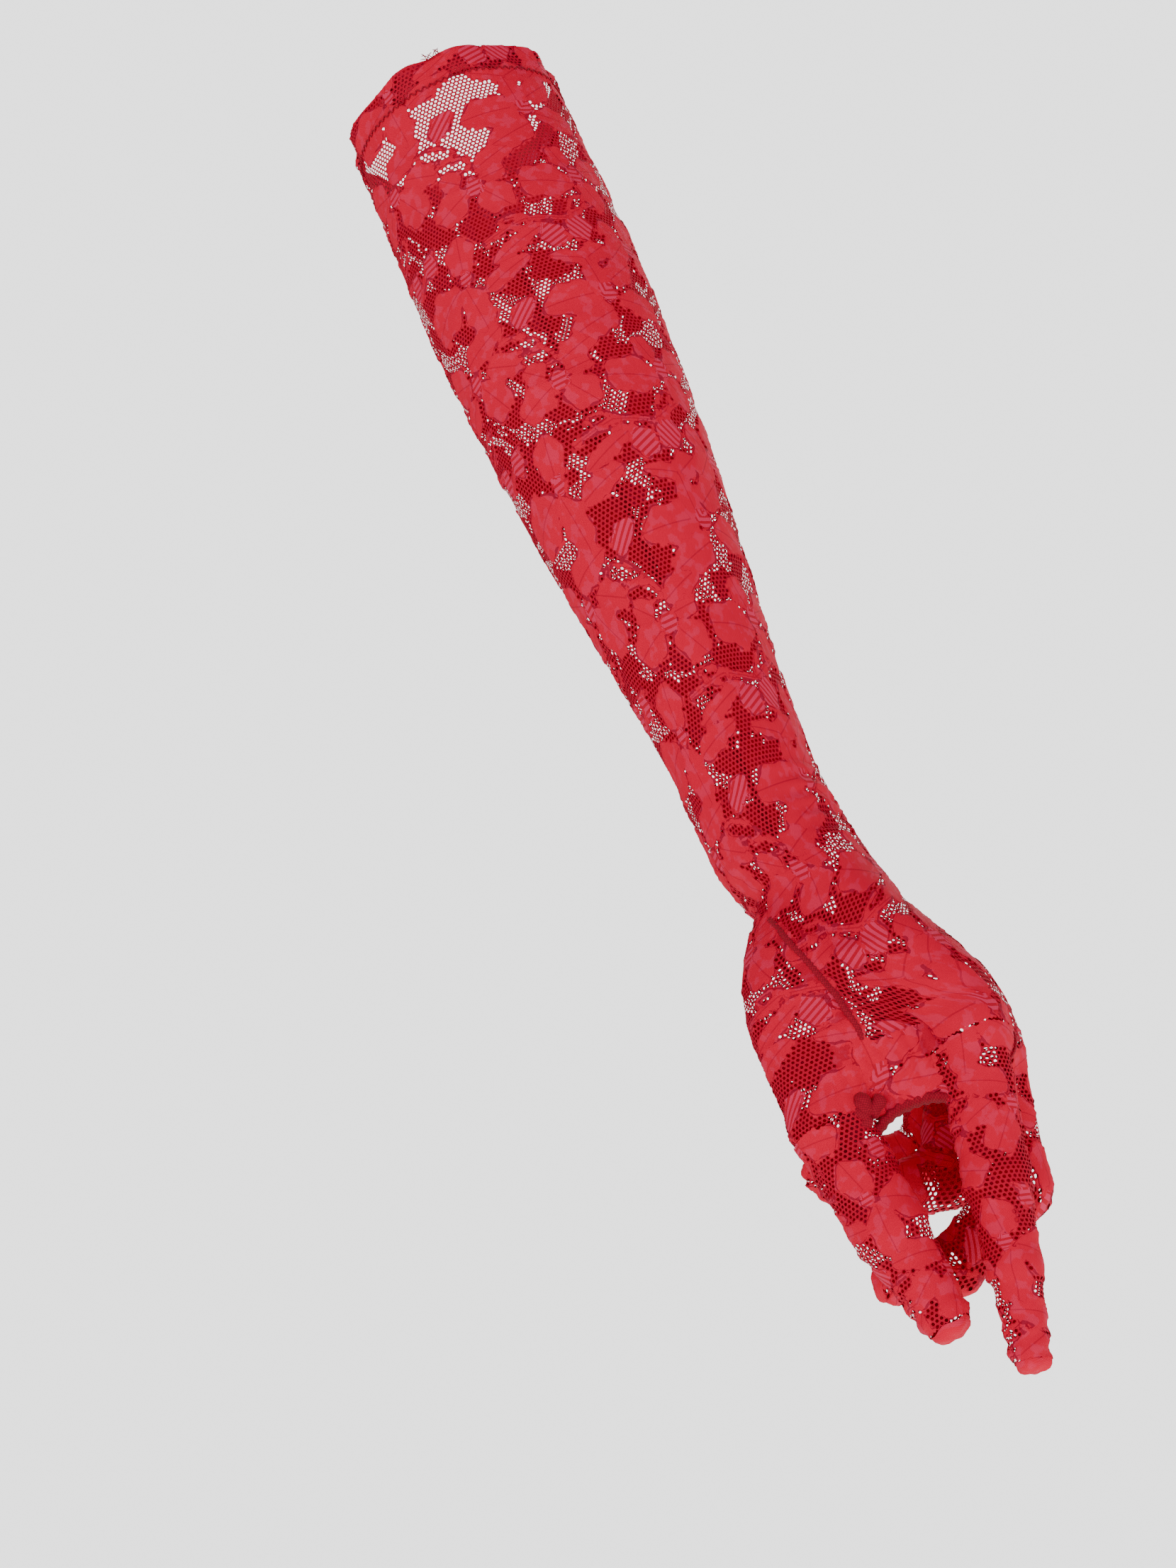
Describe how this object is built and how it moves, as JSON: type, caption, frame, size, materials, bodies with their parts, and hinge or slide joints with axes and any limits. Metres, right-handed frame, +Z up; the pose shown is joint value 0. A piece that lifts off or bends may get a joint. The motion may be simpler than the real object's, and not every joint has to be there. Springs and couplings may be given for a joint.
{
  "type": "opera glove",
  "caption": "Long red floral stretch-lace opera glove for the left arm, with an elasticated turned hem, a set-in thumb and bending fingers",
  "frame": {"origin": "centre of the cuff's opening, where the arm goes in", "axes": "+Z up the arm out of the cuff, +X to the back of the hand, -X to the palm, -Y to the thumb"},
  "size_m": [0.0859, 0.0835, 0.4917],
  "materials": {
    "lace": "matte floral stretch lace with raised cords",
    "thread": "matte overlock thread",
    "elastic": "matte knitted elastic"
  },
  "bodies": {
    "upper_sleeve": {"cuff_hem": "lace", "cuff_elastic": "elastic", "hem_stitching": "thread", "sleeve_upper": "lace", "sleeve_seam_upper": "thread"},
    "forearm": {"sleeve_forearm": "lace", "sleeve_seam_forearm": "thread"},
    "hand": {"hand_back": "lace", "hand_palm": "lace", "hand_seam": "thread", "thumb_root": "lace", "thumb_seam": "thread"},
    "thumb_middle": {"thumb_middle": "lace", "thumb_seam_middle": "thread"},
    "thumb_tip": {"thumb_tip": "lace", "thumb_seam_tip": "thread"},
    "index_root": {"index_root": "lace", "index_seam_root": "thread"},
    "index_middle": {"index_middle": "lace", "index_seam_middle": "thread"},
    "index_tip": {"index_tip": "lace", "index_seam_tip": "thread"},
    "middle_root": {"middle_root": "lace", "middle_seam_root": "thread"},
    "middle_middle": {"middle_middle": "lace", "middle_seam_middle": "thread"},
    "middle_tip": {"middle_tip": "lace", "middle_seam_tip": "thread"},
    "ring_root": {"ring_root": "lace", "ring_seam_root": "thread"},
    "ring_middle": {"ring_middle": "lace", "ring_seam_middle": "thread"},
    "ring_tip": {"ring_tip": "lace", "ring_seam_tip": "thread"},
    "little_root": {"little_root": "lace", "little_seam_root": "thread"},
    "little_middle": {"little_middle": "lace", "little_seam_middle": "thread"},
    "little_tip": {"little_tip": "lace", "little_seam_tip": "thread"}
  },
  "joints": [
    {"name": "elbow", "type": "hinge", "parent": "upper_sleeve", "child": "forearm", "pos_m": [0, 0, -0.06], "axis": [-1, 0, 0], "range_deg": [0, 90]},
    {"name": "wrist", "type": "hinge", "parent": "forearm", "child": "hand", "pos_m": [0, 0, -0.29], "axis": [0, 1, 0], "range_deg": [-55, 65]},
    {"name": "thumb_base", "type": "hinge", "parent": "hand", "child": "thumb_middle", "pos_m": [-0.0192, -0.031, -0.4], "axis": [0, 1, 0], "range_deg": [-4, 35]},
    {"name": "thumb_end", "type": "hinge", "parent": "thumb_middle", "child": "thumb_tip", "pos_m": [-0.0155, -0.031, -0.437], "axis": [0, 1, 0], "range_deg": [-15, 12]},
    {"name": "index_root", "type": "hinge", "parent": "hand", "child": "index_root", "pos_m": [0.02912, -0.0295, -0.39092], "axis": [0, 1, 0], "range_deg": [-32, 4]},
    {"name": "index_middle", "type": "hinge", "parent": "index_root", "child": "index_middle", "pos_m": [0.01877, -0.0295, -0.43574], "axis": [0, 1, 0], "range_deg": [0, 8]},
    {"name": "index_end", "type": "hinge", "parent": "index_middle", "child": "index_tip", "pos_m": [0.01292, -0.0295, -0.46107], "axis": [0, 1, 0], "range_deg": [-1, 6.36]},
    {"name": "middle_root", "type": "hinge", "parent": "hand", "child": "middle_root", "pos_m": [0.03077, -0.0095, -0.38999], "axis": [0, 1, 0], "range_deg": [-25, 30]},
    {"name": "middle_middle", "type": "hinge", "parent": "middle_root", "child": "middle_middle", "pos_m": [0.02357, -0.0095, -0.43543], "axis": [0, 1, 0], "range_deg": [-54, 40]},
    {"name": "middle_end", "type": "hinge", "parent": "middle_middle", "child": "middle_tip", "pos_m": [-0.00227, -0.0095, -0.44859], "axis": [0, 1, 0], "range_deg": [-37.18, 27.8]},
    {"name": "ring_root", "type": "hinge", "parent": "hand", "child": "ring_root", "pos_m": [0.02814, 0.01, -0.38586], "axis": [0, 1, 0], "range_deg": [-45, 20]},
    {"name": "ring_middle", "type": "hinge", "parent": "ring_root", "child": "ring_middle", "pos_m": [0.0069, 0.01, -0.41856], "axis": [0, 1, 0], "range_deg": [-66, 29]},
    {"name": "ring_end", "type": "hinge", "parent": "ring_middle", "child": "ring_tip", "pos_m": [-0.01829, 0.01, -0.41457], "axis": [0, 1, 0], "range_deg": [-45.22, 20.43]},
    {"name": "little_root", "type": "hinge", "parent": "hand", "child": "little_root", "pos_m": [0.022, 0.028, -0.3792], "axis": [0, 1, 0], "range_deg": [-50, 12]},
    {"name": "little_middle", "type": "hinge", "parent": "little_root", "child": "little_middle", "pos_m": [0.00291, 0.028, -0.40363], "axis": [0, 1, 0], "range_deg": [-64, 25]},
    {"name": "little_end", "type": "hinge", "parent": "little_middle", "child": "little_tip", "pos_m": [-0.01567, 0.028, -0.39968], "axis": [0, 1, 0], "range_deg": [-43.88, 17.75]}
  ],
  "couplings": [
    {"joint": "index_end", "follows": "index_middle", "ratio": 0.67},
    {"joint": "middle_end", "follows": "middle_middle", "ratio": 0.67},
    {"joint": "ring_end", "follows": "ring_middle", "ratio": 0.67},
    {"joint": "little_end", "follows": "little_middle", "ratio": 0.67}
  ]
}
